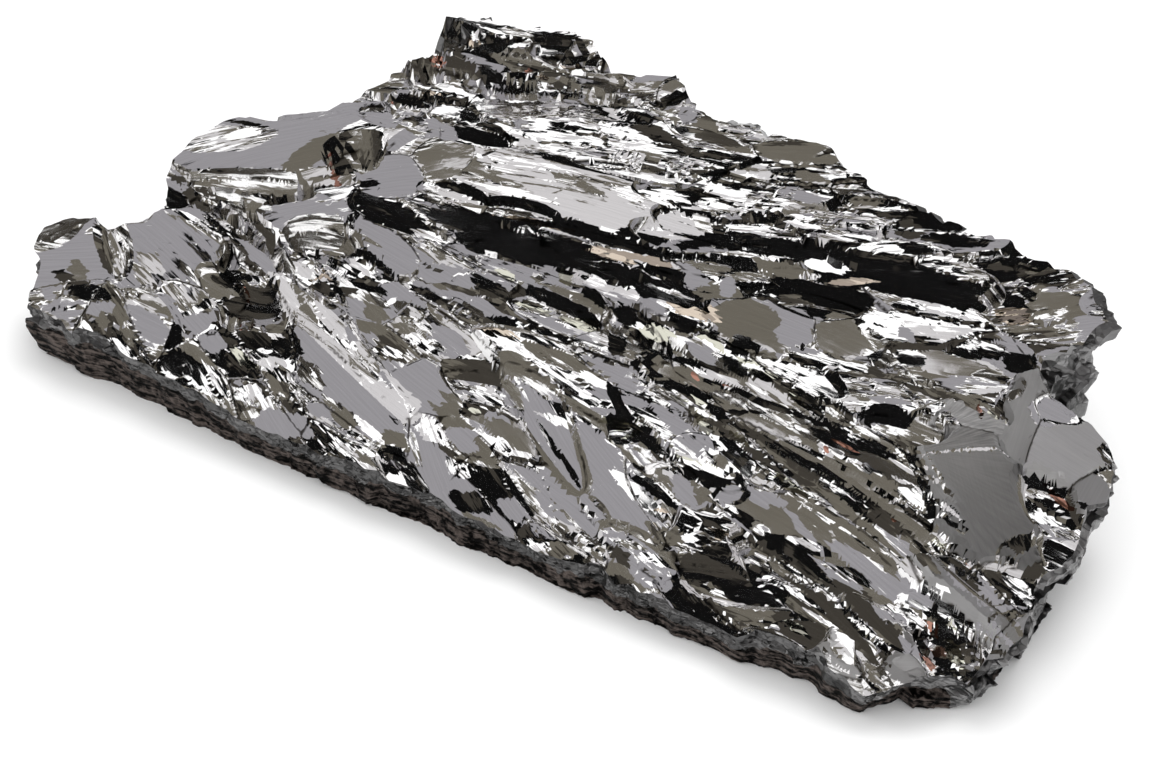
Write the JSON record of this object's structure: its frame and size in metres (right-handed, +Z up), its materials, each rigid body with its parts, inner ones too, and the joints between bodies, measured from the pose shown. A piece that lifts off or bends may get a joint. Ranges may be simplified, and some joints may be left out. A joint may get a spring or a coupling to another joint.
{
  "type": "ore specimen",
  "caption": "Hand-sized broken slab of bright metallic ore: fanned blade-like crystal faces over a dark layered crust.",
  "frame": {"origin": "middle of the flat underside, below the middle of the specimen's box", "axes": "+X along the slab towards its blunt right end, +Y from the low front edge with the crust towards the crest at the back, +Z up"},
  "size_m": [0.1368, 0.0712, 0.0253],
  "materials": {
    "bright_ore": "polished"
  },
  "bodies": {
    "root": {"ore_specimen": "bright_ore"}
  },
  "joints": []
}
